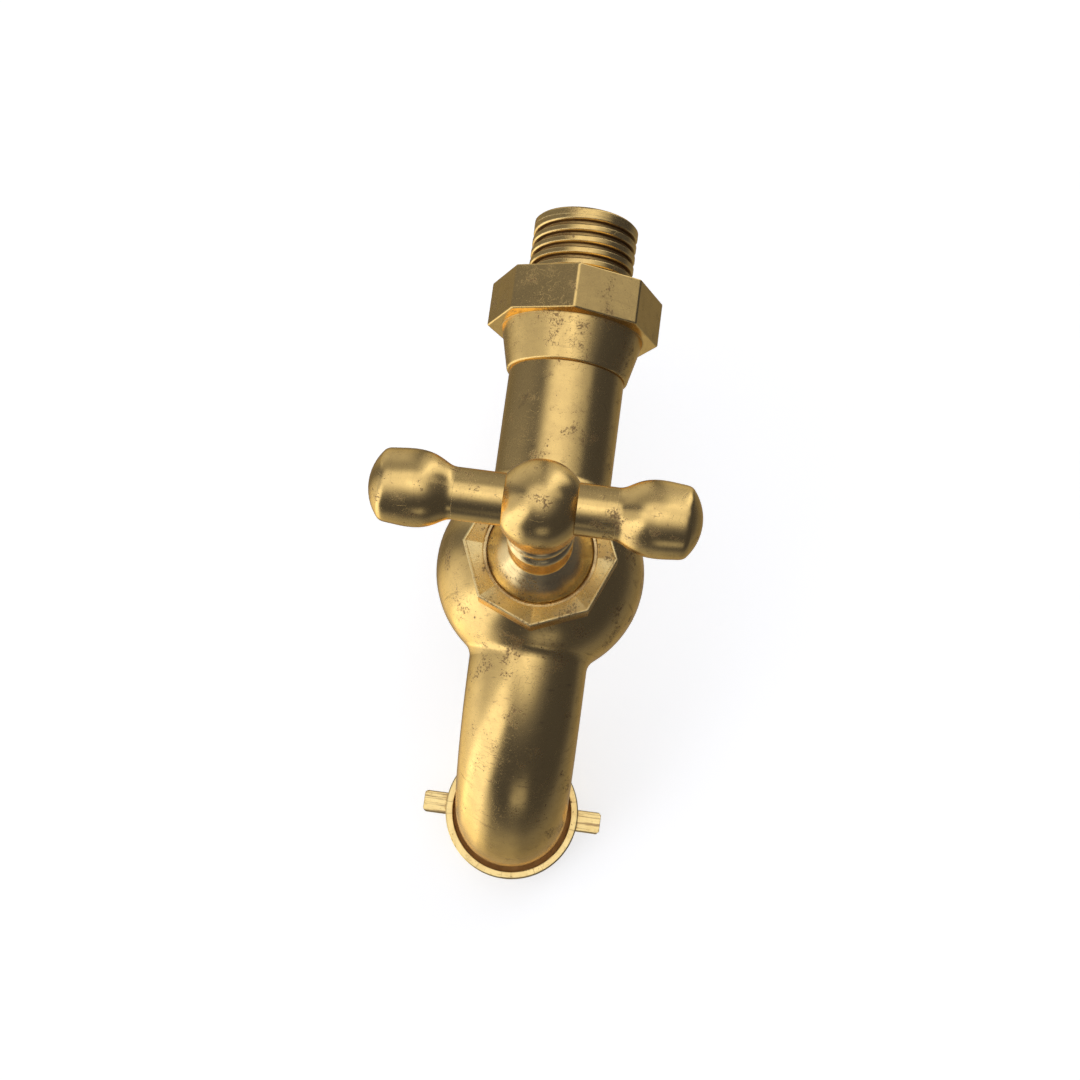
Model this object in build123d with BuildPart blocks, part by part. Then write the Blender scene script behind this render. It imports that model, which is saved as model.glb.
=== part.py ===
from build123d import *
import os
from math import copysign, cos, pi

# A half-inch bib tap with a T-handle and a swivelling pin-lug hose coupling.
# Millimetres. +Z runs up along the spindle. The origin lies on the inlet axis, on the
# wall side of the collar: the inlet thread leaves along +Y, the spout reaches along -Y.

os.makedirs("parts", exist_ok=True)

# Frame
GLOBE_Y = -57.1  # the spindle's axis
HANDLE_Z = 58.8  # the cross bar's axis
OCTAGON = 8
OVER_CORNERS = 1 / cos(pi / OCTAGON)
HEXAGON = 6
FIT = 0.05
OVERRUN = 1.0  # how far a cut runs past the surface it opens

# Casing
GLOBE_R = 20.0
CHAMBER_R = 16.5
TUBE_R = 11.4
TUBE_END_Y = -3.5
SPIGOT_R = 10.15
INLET_BORE_R = 7.0
SPOUT_R = 11.25
SPOUT_BORE_R = 8.5
SPOUT_REACH = 14.5  # from the spindle's axis to the start of the bend
BEND_R = 30.3
OUTLET_Y = GLOBE_Y - SPOUT_REACH - BEND_R
SHOULDER_Z = -35.8
NECK_R = 8.7
NECK_END_Z = -40.3
NECK_BORE_R = 6.3
NECK_BORE_TOP_Z = -33.0
BLEND_R = 3.0
PARTITION = 3.0  # thickness of the wall that holds the seat
WALL_NEAR = 8.5  # a chamber's closed side, measured from the spindle's axis
WALL_FAR = 11.0  # where a bore starts on the far side of that wall
SEAT_HOLE_R = 7.0
BOSS_R = 12.4
BOSS_TOP_Z = 16.5
BOSS_THREAD_R = 11.6
BOSS_END_Z = 19.0
BOSS_BORE_R = 9.3
BOSS_BORE_Z = 8.2

# Inlet nipple
THREAD_R = 10.4775  # major radius of G 1/2
THREAD_MINOR_R = 9.4
THREAD_PITCH = 2.35
THREAD_RIDGE = (1.75, 1.4)  # width at the foot and at the crest
THREAD_END_Y = 14.2
ROOT_BAND = 1.0  # plain bands at both ends of the thread
TIP_BAND = 1.6
RIDGE_LAP = 0.4  # how far the ridge runs into those bands
RIDGE_SHY = 0.03  # how far a ridge stops short of its thread's radius
RIDGE_BURY = 0.3  # how deep its foot is sunk
CREST_BEVEL = 0.25
TIP_CHAMFER = 0.4
COLLAR_FLATS = 31.6
COLLAR_BACK_Y = -9.0
COLLAR_CORNER_R = 0.8
COLLAR_RIM_R = 0.3
SKIRT_BACK_Y = -17.7
SKIRT_R = 14.07
SKIRT_END_R = 11.95
SKIRT_LIP_R = 0.45
SKIRT_LAP = 1.0
NIPPLE_SEAT_Y = -2.5

# Bonnet stack
GASKET = 0.5
BONNET_FLANGE_Z = BOSS_END_Z + GASKET
BONNET_FLANGE_R = 11.2
NUT_LIP_Z = BONNET_FLANGE_Z + 1.1
BONNET_SPIGOT_R = 9.0
BONNET_SPIGOT_Z = 8.5
CONE_FOOT_R = 9.7
CONE_FOOT_DROP = 0.9  # its foot stands this far below the nut's top
CONE_FOOT_ROUND = 0.5
CONE_TOP_Z = 28.2
CONE_COVE = 1.0
BONNET_NECK_R = 5.6
BONNET_TOP_Z = 35.2
PLUG_ROOM_R = 7.5
PLUG_ROOM_Z = 14.0
LIFT_BORE_R = 5.1
LIFT_BORE_Z = 20.5
RELIEF_R = 5.3
RELIEF_Z = 24.8
PACKING_Z = 26.0
PACKING_R = 5.0
NUT_FLATS = 26.0
NUT_BOTTOM_Z = 16.6
NUT_TOP_Z = 22.6
NUT_BORE_R = 10.33
NUT_RIM = 0.55  # width of the raised rim round the dished top
NUT_STEP = 0.25  # height of that rim
NUT_DISH = 0.7
NUT_CHAMFER = 0.2

# Gland
WASHER_T = 0.8
RING_T = 1.0
RINGS = 3
GLAND_SPIGOT_Z = PACKING_Z + WASHER_T + RINGS * RING_T
GLAND_WAIST_R = 5.05
GLAND_BEAD_R = 5.85
GLAND_BEADS = ((BONNET_TOP_Z, 38.2), (41.9, 44.9))

# Spindle and handle
STEM_R = 3.5
STEM_HOLE_R = 3.6
PACKING_HOLE_R = 3.55
STEM_FOOT_Z = 7.55
STEM_FOOT_R = 6.5
LIFT_THREAD_R = 5.0
LIFT_CORE_R = 3.9
LIFT_PITCH = 2.5
LIFT_THREAD_Z = 9.0
LIFT_THREAD_END_Z = 19.5
LIFT_RIDGE = (1.4, 1.0)
LIFT_RIDGE_INSET = 0.9
STEM_SHOULDER = 0.4
SQUARE = 4.9
SQUARE_Z = 48.0
SQUARE_END_Z = 53.5
HUB_R = 7.16
HUB_BASE_R = 5.7
HUB_BASE_Z = 47.0
HUB_BASE_ROUND = 0.5
SCREW_R = 1.5
SCREW_Z = 50.5
SCREW_END = 6.1
SOCKET_R = 0.85
SOCKET_DEPTH = 1.5
BAR_R = 4.2
BAR_SHIFT_X = -0.79  # the bar sits slightly off centre in the hub
BAR_PIN_R = 3.0  # its two ends are turned down to fit the knobs
BAR_END = 19.8
KNOB_START = 12.8
KNOB_FLARE = (14.6, 4.86)
KNOB_BARREL = (16.4, 5.73)
KNOB_WIDEST = (20.0, 6.18)
KNOB_WANE = (22.8, 5.94)
KNOB_EDGE = (24.4, 5.35)
KNOB_END = 26.35

# Valve plug
PLUG_R = 6.8
PLUG_Z = 5.5
PLUG_T = 2.0
PLUG_PIN_R = 2.0
PLUG_PIN_END_Z = 14.5
STUD_R = 1.5
SEAT_WASHER_R = 6.5
SEAT_WASHER_Z = 2.5
WASHER_NUT_Z = 0.8
WASHER_NUT_FLATS = 5.5
STUD_TIP = 0.6
SEAT_BORE_R = 5.5
SEAT_LIP_R = 6.1
SEAT_FLANGE_R = 7.8
SEAT_FLANGE_Z = 2.0
SEAT_LIP_SLOPE = 0.2

# Hose coupling
RIM_R = 13.75
RIM_BORE_R = 12.3
RIM_TOP_Z = -32.6
RIM_ROUND = 0.3
FLANGE_TOP_Z = -35.9
FLANGE_BOTTOM_Z = -38.0
CLIP_Z = -39.0
CLIP_T = 0.9
CLIP_GROOVE_R = 8.0
CLIP_R = 9.15
CLIP_GAP = 5.0
RECESS_R = 9.6
HOSE_THREAD_Z = -42.4
HOSE_THREAD_END_Z = -49.0
HOSE_THREAD_R = 9.32  # minor radius of G 1/2
HOSE_THREAD_ROOT_R = 10.3
HOSE_BAND = 0.9
HOSE_RIDGE = (1.6, 1.2)
HOSE_RIDGE_INSET = 1.0
HOSE_CHAMFER = 0.6
HOSE_WASHER = (-42.3, -40.4)
LUG = 4.4  # side of its square section
LUG_EDGE_R = 0.3
LUG_Z = -36.7
LUG_ROOT_X = 12.4
LUG_TIP_X = 18.5
LUG_CHAMFER = 0.5

STEM_AXIS = Axis((0, GLOBE_Y, 0), (0, 0, 1))
STEM_SIDE = Plane(origin=(0, GLOBE_Y, 0), x_dir=(1, 0, 0), z_dir=(0, -1, 0))
OUTLET_AXIS = Axis((0, OUTLET_Y, 0), (0, 0, 1))
OUTLET_SIDE = Plane(origin=(0, OUTLET_Y, 0), x_dir=(1, 0, 0), z_dir=(0, -1, 0))
BAR_AXIS = Axis((0, GLOBE_Y, HANDLE_Z), (1, 0, 0))
SPOUT_START = Plane(origin=(0, GLOBE_Y, 0), x_dir=(1, 0, 0), z_dir=(0, -1, 0))
BEND_START = Plane(origin=(0, GLOBE_Y - SPOUT_REACH, 0), x_dir=(1, 0, 0), z_dir=(0, -1, 0))
BEND_AXIS = Axis((0, GLOBE_Y - SPOUT_REACH, -BEND_R), (1, 0, 0))


def outline(corners, plane):
    """Closed outline through (radius, height) corners on a plane through an axis."""
    with BuildSketch(plane) as sketch:
        with BuildLine():
            Polyline(*corners, close=True)
        make_face()
    return sketch.sketch


def ring(inner, outer, bottom, top, plane):
    """Outline of a flat ring."""
    return outline([(inner, bottom), (outer, bottom), (outer, top), (inner, top)], plane)


def level(height, y=GLOBE_Y):
    """Horizontal plane centred on the spindle's axis or another upright axis."""
    return Plane(origin=(0, y, height), x_dir=(1, 0, 0), z_dir=(0, 0, 1))


def thread_ridge(start, axis, radius, length, pitch, depth, widths):
    """Helical ridge that stands depth proud of radius, or inside it where depth is negative.
    Its widths are at the foot and at the crest, whose two corners are bevelled."""
    path = Helix(pitch, length, radius, center=start, direction=axis)
    outward = (path @ 0 - Vector(*start)).normalized()
    foot, crest = widths[0] / 2, widths[1] / 2
    sunk = -copysign(RIDGE_BURY, depth)
    flank_end = depth - copysign(CREST_BEVEL, depth)
    with BuildSketch(Plane(origin=path @ 0, x_dir=outward, z_dir=path % 0)) as section:
        with BuildLine():
            Polyline(
                (sunk, -foot),
                (flank_end, -crest),
                (depth, CREST_BEVEL - crest),
                (depth, crest - CREST_BEVEL),
                (flank_end, crest),
                (sunk, foot),
                close=True,
            )
        make_face()
    return sweep(section.sketch, path=path, is_frenet=True)


# Casing: globe, inlet tube, spout and boss, with the two chambers and their partition

with BuildPart() as globe:
    with Locations((0, GLOBE_Y, 0)):
        Sphere(GLOBE_R)

with BuildPart() as lower_chamber:
    with Locations((0, GLOBE_Y, 0)):
        Sphere(CHAMBER_R)
    split(bisect_by=Plane.XY.offset(-PARTITION / 2), keep=Keep.BOTTOM)
    split(bisect_by=Plane(origin=(0, GLOBE_Y - WALL_NEAR, 0), z_dir=(0, 1, 0)), keep=Keep.TOP)

with BuildPart() as upper_chamber:
    with Locations((0, GLOBE_Y, 0)):
        Sphere(CHAMBER_R)
    split(bisect_by=Plane.XY.offset(PARTITION / 2), keep=Keep.TOP)
    split(bisect_by=Plane(origin=(0, GLOBE_Y + WALL_NEAR, 0), z_dir=(0, 1, 0)), keep=Keep.BOTTOM)

with BuildPart() as valve_body:
    add(globe.part)
    with BuildSketch(Plane.XZ.offset(-GLOBE_Y)):
        Circle(TUBE_R)
    extrude(amount=GLOBE_Y - SKIRT_BACK_Y)
    with BuildSketch(SPOUT_START):
        Circle(SPOUT_R)
    extrude(amount=SPOUT_REACH)
    with BuildSketch(level(0)):
        Circle(BOSS_R)
    extrude(amount=BOSS_TOP_Z)
    with BuildSketch(BEND_START):
        Circle(SPOUT_R)
    revolve(axis=BEND_AXIS, revolution_arc=90)
    round_globe = valve_body.faces().filter_by(GeomType.SPHERE).edges()
    pipe_joints = round_globe.filter_by(lambda edge: abs(edge.center().Z) < BOSS_R / 2 and edge.is_closed)
    fillet(pipe_joints, BLEND_R)
    with BuildSketch(level(-BEND_R, OUTLET_Y)):
        Circle(SPOUT_R)
    extrude(amount=SHOULDER_Z + BEND_R)
    with BuildSketch(level(SHOULDER_Z, OUTLET_Y)):
        Circle(NECK_R)
    extrude(amount=NECK_END_Z - SHOULDER_Z)
    with BuildSketch(Plane.XZ.offset(-SKIRT_BACK_Y)):
        Circle(SPIGOT_R)
    extrude(amount=SKIRT_BACK_Y - TUBE_END_Y)
    with BuildSketch(level(BOSS_TOP_Z)):
        Circle(BOSS_THREAD_R)
    extrude(amount=BOSS_END_Z - BOSS_TOP_Z)

    # waterways
    add(lower_chamber.part, mode=Mode.SUBTRACT)
    add(upper_chamber.part, mode=Mode.SUBTRACT)
    with BuildSketch(Plane.XZ.offset(-TUBE_END_Y)):
        Circle(INLET_BORE_R)
    extrude(amount=TUBE_END_Y - GLOBE_Y - WALL_FAR, mode=Mode.SUBTRACT)
    with BuildSketch(SPOUT_START.offset(WALL_FAR)):
        Circle(SPOUT_BORE_R)
    extrude(amount=SPOUT_REACH - WALL_FAR, mode=Mode.SUBTRACT)
    with BuildSketch(BEND_START):
        Circle(SPOUT_BORE_R)
    revolve(axis=BEND_AXIS, revolution_arc=90, mode=Mode.SUBTRACT)
    with BuildSketch(level(-BEND_R, OUTLET_Y)):
        Circle(SPOUT_BORE_R)
    extrude(amount=NECK_BORE_TOP_Z + BEND_R, mode=Mode.SUBTRACT)
    with BuildSketch(level(NECK_END_Z, OUTLET_Y)):
        Circle(NECK_BORE_R)
    extrude(amount=NECK_BORE_TOP_Z - NECK_END_Z, mode=Mode.SUBTRACT)
    with BuildSketch(level(-PARTITION)):
        Circle(SEAT_HOLE_R)
    extrude(amount=2 * PARTITION, mode=Mode.SUBTRACT)
    with BuildSketch(level(BOSS_BORE_Z)):
        Circle(BOSS_BORE_R)
    extrude(amount=GLOBE_R, mode=Mode.SUBTRACT)
    revolve(
        ring(CLIP_GROOVE_R, NECK_R + OVERRUN, CLIP_Z - FIT, CLIP_Z + CLIP_T + FIT, OUTLET_SIDE),
        axis=OUTLET_AXIS,
        mode=Mode.SUBTRACT,
    )
valve_body.part.label = "valve_body"
export_step(valve_body.part, "parts/valve_body.step")

# Inlet nipple: threaded stub, octagonal collar and conical skirt in one turned piece

inlet_ridge = thread_ridge(
    (0, ROOT_BAND - RIDGE_LAP, 0),
    (0, 1, 0),
    THREAD_MINOR_R,
    THREAD_END_Y - TIP_BAND - ROOT_BAND + 2 * RIDGE_LAP,
    THREAD_PITCH,
    THREAD_R - RIDGE_SHY - THREAD_MINOR_R,
    THREAD_RIDGE,
)

with BuildPart() as inlet_nipple:
    with BuildSketch(Plane.XZ):
        RegularPolygon(COLLAR_FLATS / 2 * OVER_CORNERS, OCTAGON)
    extrude(amount=-COLLAR_BACK_Y)
    fillet(inlet_nipple.edges().filter_by(Axis.Y), COLLAR_CORNER_R)
    fillet(inlet_nipple.faces().filter_by(Axis.Y).edges(), COLLAR_RIM_R)
    revolve(
        outline(
            [
                (0, SKIRT_BACK_Y),
                (SKIRT_END_R, SKIRT_BACK_Y),
                (SKIRT_R, COLLAR_BACK_Y),
                (SKIRT_R, COLLAR_BACK_Y + SKIRT_LAP),
                (0, COLLAR_BACK_Y + SKIRT_LAP),
            ],
            Plane.XY,
        ),
        axis=Axis.Y,
    )
    skirt_end = inlet_nipple.edges().filter_by(GeomType.CIRCLE).sort_by(Axis.Y)[0]
    fillet(skirt_end, SKIRT_LIP_R)
    with BuildSketch(Plane.XZ):
        Circle(THREAD_MINOR_R)
    extrude(amount=-THREAD_END_Y)
    add(inlet_ridge)
    with BuildSketch(Plane.XZ):
        Circle(THREAD_R)
    extrude(amount=-ROOT_BAND)
    revolve(
        outline(
            [
                (0, THREAD_END_Y - TIP_BAND),
                (THREAD_R, THREAD_END_Y - TIP_BAND),
                (THREAD_R, THREAD_END_Y - TIP_CHAMFER),
                (THREAD_R - TIP_CHAMFER, THREAD_END_Y),
                (0, THREAD_END_Y),
            ],
            Plane.XY,
        ),
        axis=Axis.Y,
    )
    with BuildSketch(Plane.XZ.offset(-THREAD_END_Y)):
        Circle(INLET_BORE_R)
    extrude(amount=THREAD_END_Y - SKIRT_BACK_Y, mode=Mode.SUBTRACT)
    with BuildSketch(Plane.XZ.offset(-NIPPLE_SEAT_Y)):
        Circle(SPIGOT_R + FIT)
    extrude(amount=NIPPLE_SEAT_Y - SKIRT_BACK_Y, mode=Mode.SUBTRACT)
inlet_nipple.part.label = "inlet_nipple"
export_step(inlet_nipple.part, "parts/inlet_nipple.step")

with BuildPart() as inlet_gasket:
    with BuildSketch(Plane.XZ.offset(-NIPPLE_SEAT_Y)):
        Circle(SPIGOT_R)
        Circle(INLET_BORE_R, mode=Mode.SUBTRACT)
    extrude(amount=NIPPLE_SEAT_Y - TUBE_END_Y)
inlet_gasket.part.label = "inlet_gasket"
export_step(inlet_gasket.part, "parts/inlet_gasket.step")

with BuildPart() as valve_seat:
    revolve(
        outline(
            [
                (SEAT_BORE_R, -PARTITION / 2),
                (SEAT_HOLE_R, -PARTITION / 2),
                (SEAT_HOLE_R, PARTITION / 2),
                (SEAT_FLANGE_R, PARTITION / 2),
                (SEAT_FLANGE_R, SEAT_FLANGE_Z),
                (SEAT_LIP_R + SEAT_LIP_SLOPE, SEAT_FLANGE_Z),
                (SEAT_LIP_R, SEAT_WASHER_Z - FIT),
                (SEAT_BORE_R, SEAT_WASHER_Z - FIT),
            ],
            STEM_SIDE,
        ),
        axis=STEM_AXIS,
    )
valve_seat.part.label = "valve_seat"
export_step(valve_seat.part, "parts/valve_seat.step")

# Bonnet: flange, spindle guide, lifting-thread bore, and the packing box in a cone and a neck

with BuildPart() as bonnet:
    revolve(
        outline(
            [
                (PLUG_ROOM_R, BONNET_SPIGOT_Z),
                (BONNET_SPIGOT_R, BONNET_SPIGOT_Z),
                (BONNET_SPIGOT_R, BONNET_FLANGE_Z),
                (BONNET_FLANGE_R, BONNET_FLANGE_Z),
                (BONNET_FLANGE_R, NUT_LIP_Z),
                (CONE_FOOT_R, NUT_LIP_Z),
                (CONE_FOOT_R, NUT_TOP_Z - CONE_FOOT_DROP),
                (BONNET_NECK_R, CONE_TOP_Z),
                (BONNET_NECK_R, BONNET_TOP_Z),
                (PACKING_R, BONNET_TOP_Z),
                (PACKING_R, PACKING_Z),
                (STEM_HOLE_R, PACKING_Z),
                (STEM_HOLE_R, RELIEF_Z),
                (RELIEF_R, RELIEF_Z),
                (RELIEF_R, LIFT_BORE_Z),
                (LIFT_BORE_R, LIFT_BORE_Z),
                (LIFT_BORE_R, PLUG_ROOM_Z),
                (PLUG_ROOM_R, PLUG_ROOM_Z),
            ],
            STEM_SIDE,
        ),
        axis=STEM_AXIS,
    )
    circles = bonnet.edges().filter_by(GeomType.CIRCLE)
    cone_edges = circles.filter_by_position(Axis.Z, NUT_LIP_Z + FIT, CONE_TOP_Z + FIT)
    fillet(cone_edges.filter_by(lambda edge: abs(edge.radius - BONNET_NECK_R) < FIT), CONE_COVE)
    fillet(cone_edges.filter_by(lambda edge: abs(edge.radius - CONE_FOOT_R) < FIT), CONE_FOOT_ROUND)
bonnet.part.label = "bonnet"
export_step(bonnet.part, "parts/bonnet.step")

with BuildPart() as bonnet_gasket:
    revolve(ring(BOSS_BORE_R, BONNET_FLANGE_R, BOSS_END_Z, BONNET_FLANGE_Z, STEM_SIDE), axis=STEM_AXIS)
bonnet_gasket.part.label = "bonnet_gasket"
export_step(bonnet_gasket.part, "parts/bonnet_gasket.step")

with BuildPart() as bonnet_nut:
    with BuildSketch(level(NUT_BOTTOM_Z)):
        RegularPolygon(NUT_FLATS / 2 * OVER_CORNERS, OCTAGON)
    extrude(amount=NUT_TOP_Z - NUT_BOTTOM_Z)
    chamfer(bonnet_nut.faces().filter_by(Axis.Z).edges(), NUT_CHAMFER)
    with BuildSketch(level(NUT_TOP_Z - NUT_STEP)):
        RegularPolygon((NUT_FLATS / 2 - NUT_RIM) * OVER_CORNERS, OCTAGON)
    extrude(amount=NUT_STEP, mode=Mode.SUBTRACT)
    with BuildSketch(level(NUT_TOP_Z - NUT_STEP)):
        RegularPolygon((NUT_FLATS / 2 - NUT_RIM) * OVER_CORNERS, OCTAGON)
    with BuildSketch(level(NUT_TOP_Z - NUT_STEP - NUT_DISH)):
        RegularPolygon((NUT_BORE_R - OVERRUN) * OVER_CORNERS, OCTAGON)
    loft(mode=Mode.SUBTRACT)
    with BuildSketch(level(NUT_BOTTOM_Z)):
        Circle(NUT_BORE_R)
    extrude(amount=NUT_TOP_Z - NUT_BOTTOM_Z, mode=Mode.SUBTRACT)
    with BuildSketch(level(NUT_BOTTOM_Z)):
        Circle(BOSS_THREAD_R + FIT)
    extrude(amount=NUT_LIP_Z - NUT_BOTTOM_Z, mode=Mode.SUBTRACT)
bonnet_nut.part.label = "bonnet_nut"
export_step(bonnet_nut.part, "parts/bonnet_nut.step")

# Stem packing and the gland nut that squeezes it

with BuildPart() as packing_washer:
    revolve(
        ring(PACKING_HOLE_R, PACKING_R - FIT, PACKING_Z, PACKING_Z + WASHER_T, STEM_SIDE),
        axis=STEM_AXIS,
    )
packing_washer.part.label = "packing_washer"
export_step(packing_washer.part, "parts/packing_washer.step")

for number in range(RINGS):
    ring_z = PACKING_Z + WASHER_T + number * RING_T
    with BuildPart() as packing_ring:
        revolve(
            ring(PACKING_HOLE_R, PACKING_R - FIT, ring_z, ring_z + RING_T, STEM_SIDE),
            axis=STEM_AXIS,
        )
    packing_ring.part.label = f"packing_ring_{number + 1}"
    export_step(packing_ring.part, f"parts/packing_ring_{number + 1}.step")

with BuildPart() as packing_nut:
    revolve(
        ring(STEM_HOLE_R, PACKING_R - FIT, GLAND_SPIGOT_Z, BONNET_TOP_Z, STEM_SIDE),
        axis=STEM_AXIS,
    )
    revolve(
        ring(STEM_HOLE_R, GLAND_WAIST_R, BONNET_TOP_Z, GLAND_BEADS[-1][1], STEM_SIDE),
        axis=STEM_AXIS,
    )
    for bottom, top in GLAND_BEADS:
        with BuildSketch(STEM_SIDE):
            with BuildLine():
                Polyline(
                    (GLAND_WAIST_R, top),
                    (STEM_HOLE_R, top),
                    (STEM_HOLE_R, bottom),
                    (GLAND_WAIST_R, bottom),
                )
                ThreePointArc(
                    (GLAND_WAIST_R, bottom), (GLAND_BEAD_R, (bottom + top) / 2), (GLAND_WAIST_R, top)
                )
            make_face()
        revolve(axis=STEM_AXIS)
packing_nut.part.label = "packing_nut"
export_step(packing_nut.part, "parts/packing_nut.step")

# Stem: foot, lifting thread, shaft and square top

lift_ridge = thread_ridge(
    (0, GLOBE_Y, LIFT_THREAD_Z + LIFT_RIDGE_INSET),
    (0, 0, 1),
    LIFT_CORE_R,
    LIFT_THREAD_END_Z - LIFT_THREAD_Z - 2 * LIFT_RIDGE_INSET,
    LIFT_PITCH,
    LIFT_THREAD_R - LIFT_CORE_R,
    LIFT_RIDGE,
)

with BuildPart() as stem:
    revolve(
        outline(
            [
                (0, STEM_FOOT_Z),
                (STEM_FOOT_R, STEM_FOOT_Z),
                (STEM_FOOT_R, LIFT_THREAD_Z),
                (LIFT_CORE_R, LIFT_THREAD_Z),
                (LIFT_CORE_R, LIFT_THREAD_END_Z),
                (STEM_R, LIFT_THREAD_END_Z + STEM_SHOULDER),
                (STEM_R, SQUARE_Z),
                (0, SQUARE_Z),
            ],
            STEM_SIDE,
        ),
        axis=STEM_AXIS,
    )
    add(lift_ridge)
    with BuildSketch(level(SQUARE_Z)):
        Rectangle(SQUARE, SQUARE)
    extrude(amount=SQUARE_END_Z - SQUARE_Z)
    with BuildSketch(level(STEM_FOOT_Z)):
        Circle(PLUG_PIN_R + 2 * FIT)
    extrude(amount=PLUG_PIN_END_Z + 1 - STEM_FOOT_Z, mode=Mode.SUBTRACT)
stem.part.label = "stem"
export_step(stem.part, "parts/stem.step")

# Valve plug: jumper, rubber washer and the nut that holds it

with BuildPart() as jumper:
    revolve(
        outline(
            [
                (0, WASHER_NUT_Z - STUD_TIP),
                (STUD_R, WASHER_NUT_Z - STUD_TIP),
                (STUD_R, PLUG_Z),
                (PLUG_R, PLUG_Z),
                (PLUG_R, PLUG_Z + PLUG_T),
                (PLUG_PIN_R, PLUG_Z + PLUG_T),
                (PLUG_PIN_R, PLUG_PIN_END_Z),
                (0, PLUG_PIN_END_Z),
            ],
            STEM_SIDE,
        ),
        axis=STEM_AXIS,
    )
jumper.part.label = "jumper"
export_step(jumper.part, "parts/jumper.step")

with BuildPart() as seat_washer:
    revolve(ring(STUD_R, SEAT_WASHER_R, SEAT_WASHER_Z, PLUG_Z, STEM_SIDE), axis=STEM_AXIS)
seat_washer.part.label = "seat_washer"
export_step(seat_washer.part, "parts/seat_washer.step")

with BuildPart() as washer_nut:
    with BuildSketch(level(WASHER_NUT_Z)):
        RegularPolygon(WASHER_NUT_FLATS / 2 / cos(pi / HEXAGON), HEXAGON)
        Circle(STUD_R, mode=Mode.SUBTRACT)
    extrude(amount=SEAT_WASHER_Z - WASHER_NUT_Z)
washer_nut.part.label = "washer_nut"
export_step(washer_nut.part, "parts/washer_nut.step")

# Handle: ball hub, cross bar, two knobs and the grub screw

with BuildPart() as handle_hub:
    with BuildSketch(STEM_SIDE):
        with BuildLine():
            crown = CenterArc((0, HANDLE_Z), HUB_R, 0, 90)
            tail = TangentArc(crown @ 0, (HUB_BASE_R, HUB_BASE_Z), tangent=(0, -1))
            Polyline(crown @ 1, (0, HUB_BASE_Z), tail @ 1)
        make_face()
    revolve(axis=STEM_AXIS)
    base = handle_hub.edges().filter_by(GeomType.CIRCLE).group_by(Axis.Z)[0]
    fillet(base, HUB_BASE_ROUND)
    with BuildSketch(Plane.YZ.offset(-2 * HUB_R)):
        with Locations((GLOBE_Y, HANDLE_Z)):
            Circle(BAR_R + FIT / 2)
    extrude(amount=4 * HUB_R, mode=Mode.SUBTRACT)
    with BuildSketch(level(HUB_BASE_Z)):
        Circle(STEM_R + FIT)
    extrude(amount=SQUARE_Z - HUB_BASE_Z, mode=Mode.SUBTRACT)
    with BuildSketch(level(SQUARE_Z)):
        Rectangle(SQUARE + 2 * FIT, SQUARE + 2 * FIT)
    extrude(amount=SQUARE_END_Z + 4 * FIT - SQUARE_Z, mode=Mode.SUBTRACT)
    with BuildSketch(Plane.XZ.offset(-GLOBE_Y)):
        with Locations((0, SCREW_Z)):
            Circle(SCREW_R)
    extrude(amount=-2 * HUB_R, mode=Mode.SUBTRACT)
handle_hub.part.label = "handle_hub"
export_step(handle_hub.part, "parts/handle_hub.step")

with BuildPart() as hub_set_screw:
    with BuildSketch(Plane.XZ.offset(-GLOBE_Y - SQUARE / 2)):
        with Locations((0, SCREW_Z)):
            Circle(SCREW_R)
    extrude(amount=SQUARE / 2 - SCREW_END)
    with BuildSketch(Plane.XZ.offset(-GLOBE_Y - SCREW_END)):
        with Locations((0, SCREW_Z)):
            RegularPolygon(SOCKET_R, HEXAGON)
    extrude(amount=SOCKET_DEPTH, mode=Mode.SUBTRACT)
hub_set_screw.part.label = "hub_set_screw"
export_step(hub_set_screw.part, "parts/hub_set_screw.step")

with BuildPart() as handle_bar:
    for radius, reach in ((BAR_R, KNOB_START), (BAR_PIN_R, BAR_END)):
        with BuildSketch(Plane.YZ.offset(BAR_SHIFT_X)):
            with Locations((GLOBE_Y, HANDLE_Z)):
                Circle(radius)
        extrude(amount=reach, both=True)
handle_bar.part.label = "handle_bar"
export_step(handle_bar.part, "parts/handle_bar.step")

for side, knob_name in ((-1, "left_knob"), (1, "right_knob")):
    knob_side = Plane(origin=(BAR_SHIFT_X, GLOBE_Y, HANDLE_Z), x_dir=(side, 0, 0), z_dir=(0, -side, 0))
    with BuildPart() as knob:
        with BuildSketch(knob_side):
            with BuildLine():
                dome = TangentArc((KNOB_END, 0), KNOB_EDGE, tangent=(0, 1))
                Spline(
                    (KNOB_START, BAR_R),
                    KNOB_FLARE,
                    KNOB_BARREL,
                    KNOB_WIDEST,
                    KNOB_WANE,
                    KNOB_EDGE,
                    tangents=((1, 0.05), -(dome % 1)),
                )
                Polyline(
                    (KNOB_END, 0),
                    (BAR_END + FIT, 0),
                    (BAR_END + FIT, BAR_PIN_R + FIT / 2),
                    (KNOB_START, BAR_PIN_R + FIT / 2),
                    (KNOB_START, BAR_R),
                )
            make_face()
        revolve(axis=BAR_AXIS)
    knob.part.label = knob_name
    export_step(knob.part, f"parts/{knob_name}.step")

# Hose coupling: ring with its rim and thread, two lugs, circlip and washer

hose_ridge = thread_ridge(
    (0, OUTLET_Y, HOSE_THREAD_END_Z + HOSE_RIDGE_INSET),
    (0, 0, 1),
    HOSE_THREAD_ROOT_R,
    HOSE_THREAD_Z - HOSE_THREAD_END_Z - 2 * HOSE_RIDGE_INSET,
    THREAD_PITCH,
    HOSE_THREAD_R + RIDGE_SHY - HOSE_THREAD_ROOT_R,
    HOSE_RIDGE,
)

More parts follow.
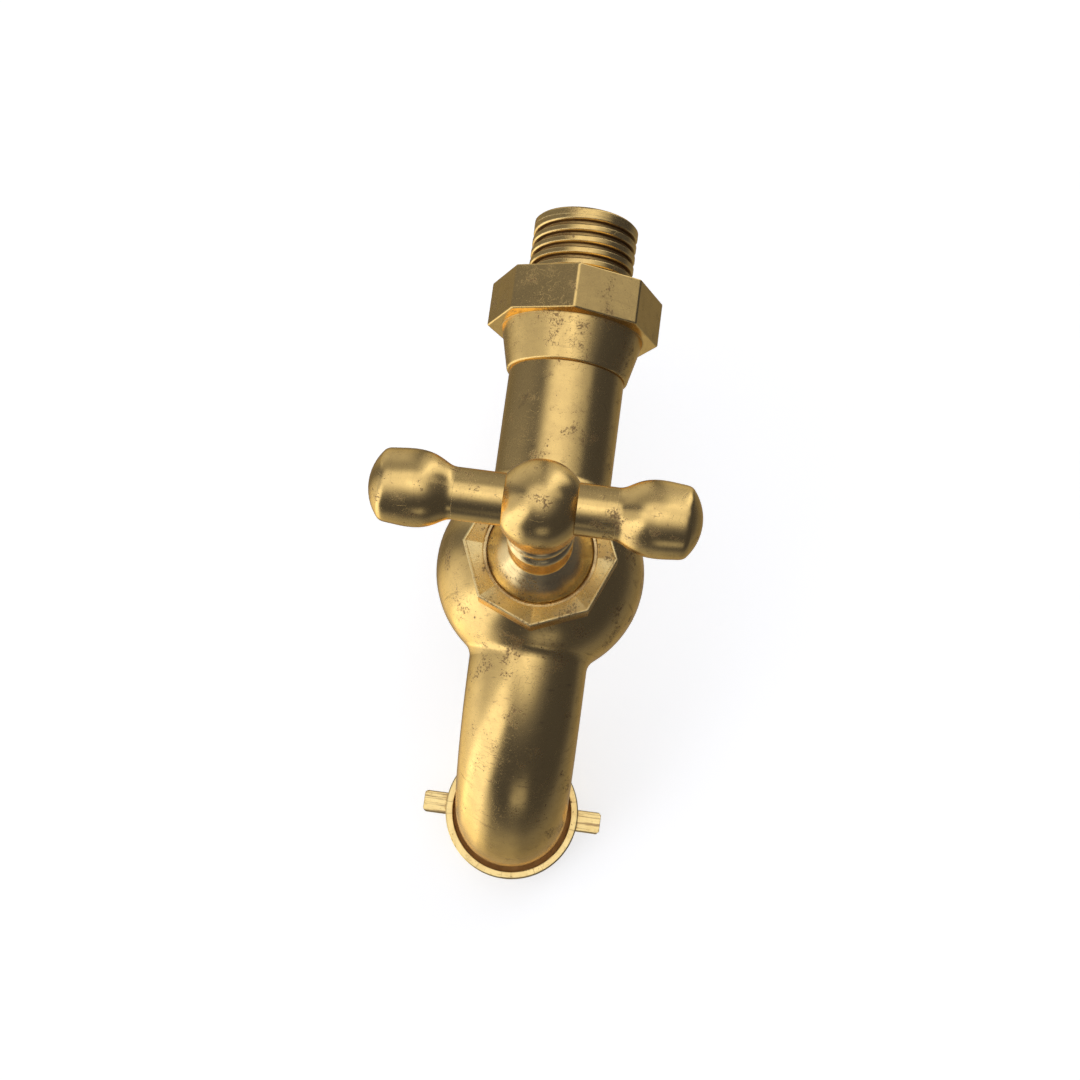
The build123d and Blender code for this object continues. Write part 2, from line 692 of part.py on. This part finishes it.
with BuildPart() as coupling_ring:
    revolve(
        outline(
            [
                (RIM_BORE_R, FLANGE_TOP_Z),
                (RIM_BORE_R, RIM_TOP_Z),
                (RIM_R, RIM_TOP_Z),
                (RIM_R, HOSE_THREAD_END_Z - HOSE_CHAMFER),
                (HOSE_THREAD_R + HOSE_CHAMFER, HOSE_THREAD_END_Z - HOSE_CHAMFER),
                (HOSE_THREAD_R, HOSE_THREAD_END_Z),
                (HOSE_THREAD_R, HOSE_THREAD_END_Z + HOSE_BAND),
                (HOSE_THREAD_ROOT_R, HOSE_THREAD_END_Z + HOSE_BAND),
                (HOSE_THREAD_ROOT_R, HOSE_THREAD_Z - HOSE_BAND),
                (HOSE_THREAD_R, HOSE_THREAD_Z - HOSE_BAND),
                (HOSE_THREAD_R, HOSE_THREAD_Z),
                (RECESS_R, HOSE_THREAD_Z),
                (RECESS_R, FLANGE_BOTTOM_Z),
                (NECK_R + FIT, FLANGE_BOTTOM_Z),
                (NECK_R + FIT, FLANGE_TOP_Z),
            ],
            OUTLET_SIDE,
        ),
        axis=OUTLET_AXIS,
    )
    outside = coupling_ring.edges().filter_by(GeomType.CIRCLE)
    fillet(outside.filter_by(lambda edge: abs(edge.radius - RIM_R) < FIT), RIM_ROUND)
    add(hose_ridge)
    for side in (-1, 1):
        with BuildSketch(Plane.YZ.offset(side * LUG_ROOT_X)):
            with Locations((OUTLET_Y, LUG_Z)):
                RectangleRounded(LUG, LUG, LUG_EDGE_R)
        extrude(amount=side * (RIM_R - LUG_ROOT_X + LUG_EDGE_R), mode=Mode.SUBTRACT)
coupling_ring.part.label = "coupling_ring"
export_step(coupling_ring.part, "parts/coupling_ring.step")

for side, lug_name in ((-1, "left_lug"), (1, "right_lug")):
    with BuildPart() as lug:
        with BuildSketch(Plane.YZ.offset(side * LUG_ROOT_X)):
            with Locations((OUTLET_Y, LUG_Z)):
                RectangleRounded(LUG, LUG, LUG_EDGE_R)
        extrude(amount=side * (LUG_TIP_X - LUG_ROOT_X))
        with BuildSketch(level(LUG_Z - LUG / 2, OUTLET_Y)) as plan:
            with Locations((side * (LUG_ROOT_X + LUG_TIP_X) / 2, 0)):
                Rectangle(LUG_TIP_X - LUG_ROOT_X, LUG)
            chamfer(plan.vertices().group_by(Axis.X)[-1 if side > 0 else 0], LUG_CHAMFER)
        extrude(amount=LUG, mode=Mode.INTERSECT)
    lug.part.label = lug_name
    export_step(lug.part, f"parts/{lug_name}.step")

with BuildPart() as retaining_ring:
    with BuildSketch(level(CLIP_Z, OUTLET_Y)):
        Circle(CLIP_R)
        Circle(CLIP_GROOVE_R, mode=Mode.SUBTRACT)
        with Locations((0, CLIP_R)):
            Rectangle(CLIP_GAP, CLIP_R, mode=Mode.SUBTRACT)
    extrude(amount=CLIP_T)
retaining_ring.part.label = "retaining_ring"
export_step(retaining_ring.part, "parts/retaining_ring.step")

with BuildPart() as coupling_washer:
    revolve(
        ring(NECK_BORE_R, HOSE_THREAD_R - 2 * FIT, HOSE_WASHER[0], HOSE_WASHER[1], OUTLET_SIDE),
        axis=OUTLET_AXIS,
    )
coupling_washer.part.label = "coupling_washer"
export_step(coupling_washer.part, "parts/coupling_washer.step")
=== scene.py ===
import bpy
from mathutils import Matrix, Vector


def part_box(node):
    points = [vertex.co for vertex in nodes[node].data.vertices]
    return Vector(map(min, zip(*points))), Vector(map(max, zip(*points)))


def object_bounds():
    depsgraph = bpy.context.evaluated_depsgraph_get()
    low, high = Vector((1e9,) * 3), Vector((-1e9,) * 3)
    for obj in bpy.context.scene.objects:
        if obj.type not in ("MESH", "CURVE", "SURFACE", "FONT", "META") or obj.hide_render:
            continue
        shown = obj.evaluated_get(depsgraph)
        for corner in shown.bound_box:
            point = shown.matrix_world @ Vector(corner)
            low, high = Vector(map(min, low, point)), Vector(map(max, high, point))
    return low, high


# A half-inch bib tap in aged brass, under a studio of tall soft panels.
# The frame's units are metres. Materials work in millimetres.

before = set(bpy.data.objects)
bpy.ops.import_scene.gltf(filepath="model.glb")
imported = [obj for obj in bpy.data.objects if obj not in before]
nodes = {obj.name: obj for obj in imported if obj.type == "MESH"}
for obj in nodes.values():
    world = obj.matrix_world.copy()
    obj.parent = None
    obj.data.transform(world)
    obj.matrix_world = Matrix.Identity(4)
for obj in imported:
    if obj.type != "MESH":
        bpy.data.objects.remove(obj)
cad_box = [list(corner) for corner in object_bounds()]
MM = 0.001


def centre(name):
    """Middle of a CAD node's box, in millimetres."""
    low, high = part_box(name)
    return (low + high) / 2 / MM


STEM_AXIS = centre("stem")
OUTLET_AXIS = centre("coupling_ring")
HANDLE_AXIS = centre("handle_bar")
INLET_AXIS = centre("inlet_gasket")
BEND_RADIUS = 30.3
BEND_AXIS = Vector((0.0, OUTLET_AXIS.y + BEND_RADIUS, -BEND_RADIUS))


# Node helpers

class Tree:
    """Short calls for a node tree: a node from its type, and links from sockets or plain values."""

    def __init__(self, tree):
        self.tree = tree
        tree.nodes.clear()

    def node(self, kind, **settings):
        made = self.tree.nodes.new(kind)
        for name, value in settings.items():
            setattr(made, name, value)
        return made

    def feed(self, socket, value):
        if isinstance(value, bpy.types.NodeSocket):
            self.tree.links.new(value, socket)
        else:
            socket.default_value = value

    def node_of(self, kind, *values, **settings):
        """A node with its first inputs filled in order."""
        made = self.node(kind, **settings)
        for socket, value in zip(made.inputs, values):
            self.feed(socket, value)
        return made

    def call(self, kind, *values, output=0, **settings):
        """One output of a node with its first inputs filled in order."""
        return self.node_of(kind, *values, **settings).outputs[output]

    def math(self, operation, a, b=0.0):
        return self.call("ShaderNodeMath", a, b, operation=operation)

    def add(self, a, b):
        return self.math("ADD", a, b)

    def times(self, a, b):
        return self.math("MULTIPLY", a, b)

    def either(self, a, b):
        return self.math("MAXIMUM", a, b)

    def ramp(self, value, low, high, to_low=0.0, to_high=1.0):
        """Value from low..high, eased to to_low..to_high and held outside."""
        return self.call(
            "ShaderNodeMapRange", value, low, high, to_low, to_high, interpolation_type="SMOOTHSTEP"
        )

    def split(self, vector):
        return self.node_of("ShaderNodeSeparateXYZ", vector).outputs

    def join(self, x, y, z):
        return self.call("ShaderNodeCombineXYZ", x, y, z)

    def noise(self, where, scale, detail=2.0, roughness=0.5, distortion=0.0):
        made = self.node("ShaderNodeTexNoise")
        settings = {"Vector": where, "Scale": scale, "Detail": detail}
        settings |= {"Roughness": roughness, "Distortion": distortion}
        for name, value in settings.items():
            self.feed(made.inputs[name], value)
        return made.outputs[0]

    def tint(self, factor, under, over):
        """Colour over laid on colour under by factor."""
        made = self.node("ShaderNodeMix", data_type="RGBA")
        for index, value in ((0, factor), (6, under), (7, over)):
            self.feed(made.inputs[index], value)
        return made.outputs[2]


# Studio: a soft world of tall light and dark panels, and a pale floor

# brightness, then azimuth from and to (0 is the front, 90 the right), elevation from and to,
# and how softly the panel ends across and up, all in degrees
PANELS = [
    (1.17, -66.0, -36.0, -64.0, 54.0, 5.0, 14.0),
    (0.47, -99.0, -62.0, -70.0, 64.0, 6.0, 14.0),
    (0.32, -90.0, -58.0, -62.0, -4.0, 8.0, 12.0),
    (0.55, -38.0, -26.0, -60.0, -8.0, 5.0, 12.0),
    (0.12, -30.0, 12.0, -80.0, -18.0, 8.0, 14.0),
    (0.10, -125.0, -95.0, -60.0, 30.0, 8.0, 20.0),
    (0.45, -174.0, -121.0, -46.0, 14.0, 8.0, 22.0),
    (0.22, -181.0, -121.0, 10.0, 64.0, 8.0, 20.0),
    (0.07, -28.0, 96.0, 42.0, 66.0, 10.0, 8.0),
    (0.80, 137.0, 163.0, -10.0, 60.0, 7.0, 12.0),
    (0.42, 150.0, 178.0, -45.0, 54.0, 8.0, 20.0),
    (0.42, 106.0, 138.0, 36.0, 64.0, 8.0, 8.0),
    (0.34, 0.0, 22.0, -4.0, 12.0, 5.0, 7.0),
    (0.13, -40.0, 181.0, -95.0, -28.0, 8.0, 12.0),
    (0.12, -181.0, 181.0, -95.0, -55.0, 8.0, 10.0),
    (0.45, -181.0, 181.0, 81.0, 120.0, 8.0, 6.0),
]
BASE_LIGHT = 0.056
ZENITH_LIGHT = 0.80
LOW_ZENITH = 0.50  # how much of it already shows low over the back and the left
STUDIO_LIGHT = (1.03, 1.025, 1.05, 1.0)
SHADE_LIGHT = (0.98, 1.0, 1.30, 1.0)  # the dim parts of the studio are a little blue
SHADE_FADE = (0.04, 0.25)
ZENITH_FADE = (49.0, 79.0)
LOW_ZENITH_FADE = (42.0, 62.0)
DEGREES = 57.29578
WHITE = (1.0, 1.0, 1.0, 1.0)
WALL_LIGHT = 0.99
FLOOR_COLOUR = (0.88, 0.90, 0.93, 1.0)
FLOOR_GLOW = 0.59
FLOOR_SIZE = 6.0
FLOOR_GAP = 0.0002
LENS = 52.95
SENSOR = 36.0
CAMERA_PLACE = Vector((7.25, -112.05, 301.23))  # in millimetres
CAMERA_RIGHT = Vector((0.99128, 0.13174, 0.0))
CAMERA_UP = Vector((-0.12906, 0.97108, 0.20087))


def panel(t, azimuth, elevation, left, right, low, high, edge, fade):
    """1 inside a panel of the studio, easing to 0 round it."""
    across = t.times(
        t.ramp(azimuth, left - edge, left + edge), t.ramp(azimuth, right - edge, right + edge, 1.0, 0.0)
    )
    up = t.times(
        t.ramp(elevation, low - fade, low + fade), t.ramp(elevation, high - fade, high + fade, 1.0, 0.0)
    )
    return t.times(across, up)


def studio_world():
    world = bpy.data.worlds.new("studio")
    world.use_nodes = True
    bpy.context.scene.world = world
    t = Tree(world.node_tree)
    x, y, z = t.split(t.call("ShaderNodeTexCoord", output="Generated"))
    azimuth = t.times(t.math("ARCTAN2", x, t.times(y, -1.0)), DEGREES)
    elevation = t.times(t.math("ARCSINE", z), DEGREES)
    back_left = t.ramp(t.math("SUBTRACT", y, x), -0.2, 0.5)
    low_zenith = t.times(back_left, t.ramp(elevation, *LOW_ZENITH_FADE, 0.0, LOW_ZENITH))
    zenith = t.add(t.ramp(elevation, *ZENITH_FADE), low_zenith)
    total = t.add(t.times(t.math("MINIMUM", zenith, 1.0), ZENITH_LIGHT), BASE_LIGHT)
    for brightness, *place in PANELS:
        total = t.add(total, t.times(panel(t, azimuth, elevation, *place), brightness))
    hue = t.tint(t.ramp(total, *SHADE_FADE), SHADE_LIGHT, STUDIO_LIGHT)
    lit = t.call("ShaderNodeBackground", hue, total)
    wall = t.call("ShaderNodeBackground", WHITE, WALL_LIGHT)
    seen = t.call("ShaderNodeLightPath", output="Is Camera Ray")
    t.node_of("ShaderNodeOutputWorld", t.call("ShaderNodeMixShader", seen, lit, wall))


def floor():
    place = (0.0, STEM_AXIS.y * MM, cad_box[0][2] - FLOOR_GAP)
    bpy.ops.mesh.primitive_plane_add(size=FLOOR_SIZE, location=place)
    plane = bpy.context.object
    plane.name = "floor"
    material = bpy.data.materials.new("floor")
    material.use_nodes = True
    t = Tree(material.node_tree)
    shader = t.node("ShaderNodeBsdfPrincipled")
    t.feed(shader.inputs["Base Color"], FLOOR_COLOUR)
    t.feed(shader.inputs["Roughness"], 0.9)
    t.feed(shader.inputs["Specular IOR Level"], 0.0)
    t.feed(shader.inputs["Emission Color"], WHITE)
    t.feed(shader.inputs["Emission Strength"], FLOOR_GLOW)
    t.node_of("ShaderNodeOutputMaterial", shader.outputs[0])
    plane.data.materials.append(material)
    plane.visible_glossy = False
    plane.visible_diffuse = False


def camera():
    """A camera looking down on the tap from a little in front of it."""
    data = bpy.data.cameras.new("camera")
    data.lens = LENS
    data.sensor_width = SENSOR
    made = bpy.data.objects.new("camera", data)
    bpy.context.scene.collection.objects.link(made)
    back = CAMERA_RIGHT.cross(CAMERA_UP)
    turn = Matrix((CAMERA_RIGHT, CAMERA_UP, back)).transposed().to_4x4()
    made.matrix_world = Matrix.Translation(CAMERA_PLACE * MM) @ turn
    bpy.context.scene.camera = made


studio_world()
floor()
camera()
bpy.context.scene.view_settings.view_transform = "Standard"


# Surface layers. Each takes the tree and the place in millimetres and returns 0..1

def round_axis(t, place, origin, axis):
    """Cosine and sine round an axis, and the distances along it and from it."""
    local = t.split(t.call("ShaderNodeVectorMath", place, tuple(origin), operation="SUBTRACT"))
    first, second, third = {"X": (1, 2, 0), "Y": (2, 0, 1), "Z": (0, 1, 2)}[axis]
    squares = t.add(t.times(local[first], local[first]), t.times(local[second], local[second]))
    radius = t.math("SQRT", squares)
    cosine = t.math("DIVIDE", local[first], radius)
    sine = t.math("DIVIDE", local[second], radius)
    return cosine, sine, local[third], radius


def lathe_rings(origin, axis, fine=6.0):
    """Lines that run round an axis, as a lathe leaves them."""

    def lines(t, place):
        cosine, sine, along, radius = round_axis(t, place, origin, axis)
        across = t.times(t.add(along, t.times(radius, 0.7)), fine)
        return t.noise(t.join(t.times(cosine, 1.3), t.times(sine, 1.3), across), 1.0, 4.0, 0.65)

    return lines


def drawn_lines(origin, axis, fine=22.0, broken=0.12):
    """Lines that run along an axis, and outwards on its end faces."""

    def lines(t, place):
        cosine, sine, along, radius = round_axis(t, place, origin, axis)
        stretch = t.times(along, broken)
        return t.noise(t.join(t.times(cosine, fine), t.times(sine, fine), stretch), 1.0, 4.0, 0.7)

    return lines


def grain_lines(direction, fine=2.4):
    """Lines that run straight along one direction, on a flat-sided piece."""
    stretch = tuple(0.08 if part else fine for part in direction)

    def lines(t, place):
        stretched = t.call("ShaderNodeVectorMath", place, stretch, operation="MULTIPLY")
        facing = t.call("ShaderNodeTexCoord", output="Normal")
        along = t.call("ShaderNodeVectorMath", facing, direction, operation="DOT_PRODUCT", output="Value")
        on_end = t.ramp(t.math("ABSOLUTE", along), 0.5, 0.8, 0.0, 0.11)
        return t.math("SUBTRACT", t.noise(stretched, 1.0, 4.0, 0.7), on_end)

    return lines


SPECK_LEVEL = (0.625, 0.695)
LINE_WIDTH = 0.12  # how far the drawn lines ease in, on their noise
CORNER = (0.38, 0.78)  # openness at which a corner gets dirt and painted shade, and none
# openness at which a corner gets the deep painted shade, and none
CORNER_DEPTH = (0.18, 0.46)
BUMP_DEPTH = 0.012
COAT = {"Coat Weight": 0.5, "Coat Roughness": 0.7}


def patches(t, place, cover, seed):
    """Tarnish that gathers in clouds of fine specks: the specks, and the haze round them."""
    moved = t.call("ShaderNodeVectorMath", place, (seed, seed * 0.7, -seed), operation="ADD")
    cloud = t.noise(moved, 0.19, 5.0, 0.66, 0.4)
    specks = t.noise(moved, 2.3, 5.0, 0.72)
    start = 0.59 - 0.04 * cover
    level = t.add(specks, t.ramp(cloud, start - 0.03, start + 0.12, 0.0, 0.15))
    return t.ramp(level, *SPECK_LEVEL), t.ramp(cloud, start - 0.08, start + 0.12)


def scratches(t, place, turn, seed):
    """Long thin scuffs in one direction, in a few places only."""
    turned = t.node("ShaderNodeVectorRotate", rotation_type="EULER_XYZ")
    t.feed(turned.inputs["Vector"], place)
    t.feed(turned.inputs["Rotation"], turn)
    stretched = t.call("ShaderNodeVectorMath", turned.outputs[0], (0.06, 0.9, 0.9), operation="MULTIPLY")
    shifted = t.call("ShaderNodeVectorMath", stretched, (seed, 0.0, 0.0), operation="ADD")
    wave = t.noise(shifted, 1.0, 1.0)
    line = t.ramp(t.math("ABSOLUTE", t.math("SUBTRACT", wave, 0.5)), 0.0, 0.010, 1.0, 0.0)
    where = t.ramp(t.noise(place, 0.11 + 0.01 * seed, 2.0), 0.55, 0.65)
    return t.times(line, where)


def crevices(t, reach):
    """How far a spot lies in a corner, from ambient occlusion: first the open side of it, for dirt and
    painted shade, then only its depth, for a deeper painted shade.
    """
    shade = t.node("ShaderNodeAmbientOcclusion", samples=8)
    t.feed(shade.inputs["Distance"], reach * MM)
    openness = shade.outputs["AO"]
    return t.ramp(openness, *CORNER, 1.0, 0.0), t.ramp(openness, *CORNER_DEPTH, 1.0, 0.0)


def colour(red, green, blue):
    return (red, green, blue, 1.0)


BRASS = colour(0.96, 0.665, 0.24)
BRIGHT_BRASS = colour(1.0, 0.77, 0.34)
WORN_BRASS = colour(1.0, 0.80, 0.40)
DULL_BRASS = colour(0.68, 0.46, 0.18)
TARNISH = colour(0.33, 0.20, 0.09)
# Brown for corners: partly dirt, partly painted shade.
DIRT_AND_SHADE = colour(0.40, 0.19, 0.06)
# Dark painted shade for rounded edges that turn away from the light.
EDGE_SHADE = colour(0.22, 0.12, 0.05)
EDGE_TINT = colour(1.0, 0.80, 0.48)
# Near-black painted shade for the deepest corners.
DEEP_SHADE = colour(0.12, 0.055, 0.025)


def aged_metal(
    name,
    base=BRASS,
    dull=DULL_BRASS,
    edge_wear_and_shade=WORN_BRASS,
    roughness=0.23,
    cover=1.0,
    lines=None,
    line_mark=0.3,
    line_start=0.56,
    edge=0.25,
    dirt_and_shade=DIRT_AND_SHADE,
    deep_shade=DEEP_SHADE,
    reach=1.0,
    grime_and_shade_spread=0.0,
    seed=0.0,
):
    """Satin metal with tarnish clouds, tool lines, scuffs, dirt and painted shade in its corners, a deeper
    painted shade in its deepest corners, and edges tinted with the given edge colour, which is bright wear on
    most parts and a dark painted shade on the coupling ring and lugs.
    """
    material = bpy.data.materials.new(name)
    material.use_nodes = True
    t = Tree(material.node_tree)
    metres = t.call("ShaderNodeTexCoord", output="Object")
    place = t.call("ShaderNodeVectorMath", metres, (1 / MM, 1 / MM, 1 / MM), operation="MULTIPLY")

    specks, haze = patches(t, place, cover, seed)
    scuffs = t.either(
        scratches(t, place, (0.3, 0.2, 0.5), 1.0 + seed), scratches(t, place, (1.2, 0.6, -0.9), 2.0)
    )
    corner, depths = crevices(t, reach)
    cloudy = t.noise(place, 0.35, 5.0, 0.6)
    fine = t.noise(place, 5.0, 3.0, 0.6)

    bevel = t.node("ShaderNodeBevel", samples=6)
    t.feed(bevel.inputs["Radius"], edge * MM)
    flat = t.call("ShaderNodeNewGeometry", output="Normal")
    bend = t.call("ShaderNodeVectorMath", bevel.outputs[0], flat, operation="DOT_PRODUCT", output="Value")
    rim = t.times(t.ramp(bend, 0.94, 0.995, 1.0, 0.0), t.ramp(corner, 0.0, 0.5, 1.0, 0.0))

    paint = t.tint(t.ramp(cloudy, 0.35, 0.75, 0.0, 0.35), base, dull)
    paint = t.tint(t.times(haze, 0.30), paint, dull)
    if lines:
        streaks = lines(t, place)
        marked = t.ramp(streaks, line_start, line_start + LINE_WIDTH, 0.0, line_mark)
        paint = t.tint(marked, paint, TARNISH)
    else:
        streaks = fine
    # Edge colour: bright wear on most parts, a dark painted shade on the coupling ring and lugs.
    paint = t.tint(t.times(rim, 0.75), paint, edge_wear_and_shade)
    paint = t.tint(t.times(scuffs, 0.45), paint, TARNISH)
    paint = t.tint(t.times(specks, 0.85), paint, TARNISH)
    # Corner grime: patchy dirt placed by ambient occlusion, which also paints shade into the corners.
    patchy = t.ramp(t.add(t.times(cloudy, 0.6), t.times(fine, 0.4)), 0.44 - grime_and_shade_spread, 0.56 - grime_and_shade_spread)
    grime_and_shade = t.times(corner, patchy)
    paint = t.tint(t.times(grime_and_shade, 0.75), paint, dirt_and_shade)
    # Painted shade in the deepest corners.
    paint = t.tint(depths, paint, deep_shade)

    gloss = t.add(roughness, t.times(t.math("SUBTRACT", cloudy, 0.5), 0.16))
    gloss = t.add(gloss, t.times(t.math("SUBTRACT", fine, 0.5), 0.10))
    gloss = t.add(gloss, t.times(haze, 0.05))
    gloss = t.add(gloss, t.times(specks, 0.26))
    gloss = t.add(gloss, t.times(grime_and_shade, 0.25))

    height = t.add(t.times(streaks, 0.5), t.times(fine, 0.35))
    height = t.add(height, t.times(specks, -0.7))
    height = t.add(height, t.times(scuffs, -0.8))
    bump = t.node("ShaderNodeBump")
    t.feed(bump.inputs["Distance"], BUMP_DEPTH * MM)
    t.feed(bump.inputs["Height"], height)
    t.feed(bump.inputs["Normal"], bevel.outputs[0])

    shader = t.node("ShaderNodeBsdfPrincipled")
    t.feed(shader.inputs["Base Color"], paint)
    t.feed(shader.inputs["Metallic"], 1.0)
    t.feed(shader.inputs["Roughness"], gloss)
    t.feed(shader.inputs["Normal"], bump.outputs[0])
    t.feed(shader.inputs["Specular Tint"], EDGE_TINT)
    for socket, value in COAT.items():
        t.feed(shader.inputs[socket], value)
    t.node_of("ShaderNodeOutputMaterial", shader.outputs[0])
    return material


def soft_material(name, light, dark, roughness, fleck, depth):
    """Rubber, fibre or graphite packing: a mottled matt surface with fine flecks."""
    material = bpy.data.materials.new(name)
    material.use_nodes = True
    t = Tree(material.node_tree)
    metres = t.call("ShaderNodeTexCoord", output="Object")
    place = t.call("ShaderNodeVectorMath", metres, (1 / MM, 1 / MM, 1 / MM), operation="MULTIPLY")
    flecks = t.noise(place, fleck, 6.0, 0.7)
    cloudy = t.noise(place, 0.3, 3.0)
    bump = t.node("ShaderNodeBump")
    t.feed(bump.inputs["Distance"], depth * MM)
    t.feed(bump.inputs["Height"], flecks)
    shader = t.node("ShaderNodeBsdfPrincipled")
    mottle = t.ramp(t.add(flecks, t.times(cloudy, 0.4)), 0.5, 0.9)
    t.feed(shader.inputs["Base Color"], t.tint(mottle, light, dark))
    t.feed(shader.inputs["Roughness"], t.add(roughness, t.times(cloudy, 0.15)))
    t.feed(shader.inputs["Normal"], bump.outputs[0])
    t.node_of("ShaderNodeOutputMaterial", shader.outputs[0])
    return material


STEEL = dict(
    base=colour(0.55, 0.54, 0.52), dull=colour(0.36, 0.34, 0.32), edge_wear_and_shade=colour(0.75, 0.74, 0.72), roughness=0.3
)

cast = aged_metal(
    "cast_brass", lines=drawn_lines(BEND_AXIS, "X", 36.0, 0.3), line_mark=0.5, line_start=0.59, seed=3.0
)
# The thread's grooves and corners get near-black dirt with painted shade.
machined = aged_metal(
    "machined_brass", lines=lathe_rings(INLET_AXIS, "Y", 2.5), line_mark=0.2,
    dirt_and_shade=colour(0.16, 0.085, 0.035), reach=1.5, grime_and_shade_spread=0.2, seed=11.0,
)
turned = aged_metal(
    "turned_brass", base=colour(0.94, 0.73, 0.36), dull=colour(0.76, 0.57, 0.27),
    lines=lathe_rings(STEM_AXIS, "Z", 2.0), line_mark=0.35, line_start=0.54, cover=0.8, reach=0.6, seed=5.0,
)
# The nut's corners get dark dirt with painted shade.
nut_brass = aged_metal(
    "nut_brass", base=colour(0.98, 0.755, 0.34), dull=colour(0.80, 0.58, 0.25), cover=1.8,
    roughness=0.27, edge=0.25, reach=0.9, dirt_and_shade=colour(0.22, 0.11, 0.045), seed=17.0,
)
handle_brass = aged_metal(
    "handle_brass", lines=lathe_rings(HANDLE_AXIS, "X", 2.0), line_mark=0.15, edge=0.06, seed=23.0
)
hub_brass = aged_metal("hub_brass", cover=0.2, reach=0.6, seed=32.0)
# The coupling ring's recess and corners get a brown painted shade with some dirt, and its edges a dark
# painted shade.
ring_brass = aged_metal(
    "ring_brass", base=BRIGHT_BRASS, dull=BRASS, edge_wear_and_shade=EDGE_SHADE, roughness=0.3, cover=0.2,
    lines=drawn_lines(OUTLET_AXIS, "Z", 14.0), line_mark=0.6, line_start=0.56, edge=0.22,
    dirt_and_shade=colour(0.60, 0.30, 0.09), deep_shade=colour(0.50, 0.24, 0.07), reach=3.0, grime_and_shade_spread=0.3, seed=41.0,
)
# The lugs' edges get a dark painted shade.
lug_brass = aged_metal(
    "lug_brass", base=BRIGHT_BRASS, dull=BRASS, edge_wear_and_shade=EDGE_SHADE, roughness=0.3, cover=0.2,
    lines=grain_lines((1, 0, 0)), line_mark=0.85, line_start=0.49, edge=0.2, seed=47.0,
)
# The bronze ring's deepest corners get a brown painted shade.
bronze = aged_metal(
    "spring_bronze", base=colour(0.92, 0.56, 0.21), dull=colour(0.72, 0.40, 0.14), roughness=0.32,
    deep_shade=colour(0.60, 0.30, 0.09), seed=53.0,
)
# The set screw's corners get dark dirt with painted shade.
steel = aged_metal("sprung_steel", cover=0.6, dirt_and_shade=colour(0.12, 0.07, 0.04), **STEEL)
rubber = soft_material(
    "black_rubber", colour(0.035, 0.035, 0.036), colour(0.012, 0.012, 0.012),
    roughness=0.55, fleck=3.0, depth=0.01,
)
fibre = soft_material(
    "red_fibre", colour(0.36, 0.07, 0.04), colour(0.16, 0.03, 0.02), roughness=0.7, fleck=4.0, depth=0.02
)
packing = soft_material(
    "graphite_packing", colour(0.10, 0.10, 0.105), colour(0.03, 0.03, 0.03),
    roughness=0.5, fleck=2.5, depth=0.05,
)

FINISHES = {
    cast: ["valve_body"],
    machined: ["inlet_nipple"],
    turned: ["bonnet", "packing_nut", "packing_washer", "stem", "valve_seat", "jumper"],
    nut_brass: ["bonnet_nut", "washer_nut"],
    handle_brass: ["handle_bar", "left_knob", "right_knob"],
    hub_brass: ["handle_hub"],
    ring_brass: ["coupling_ring"],
    lug_brass: ["left_lug", "right_lug"],
    bronze: ["retaining_ring"],
    steel: ["hub_set_screw"],
    rubber: ["seat_washer", "coupling_washer"],
    fibre: ["inlet_gasket", "bonnet_gasket"],
    packing: ["packing_ring_1", "packing_ring_2", "packing_ring_3"],
}
for finish, names in FINISHES.items():
    for name in names:
        for slot in nodes[name].material_slots:
            slot.material = finish
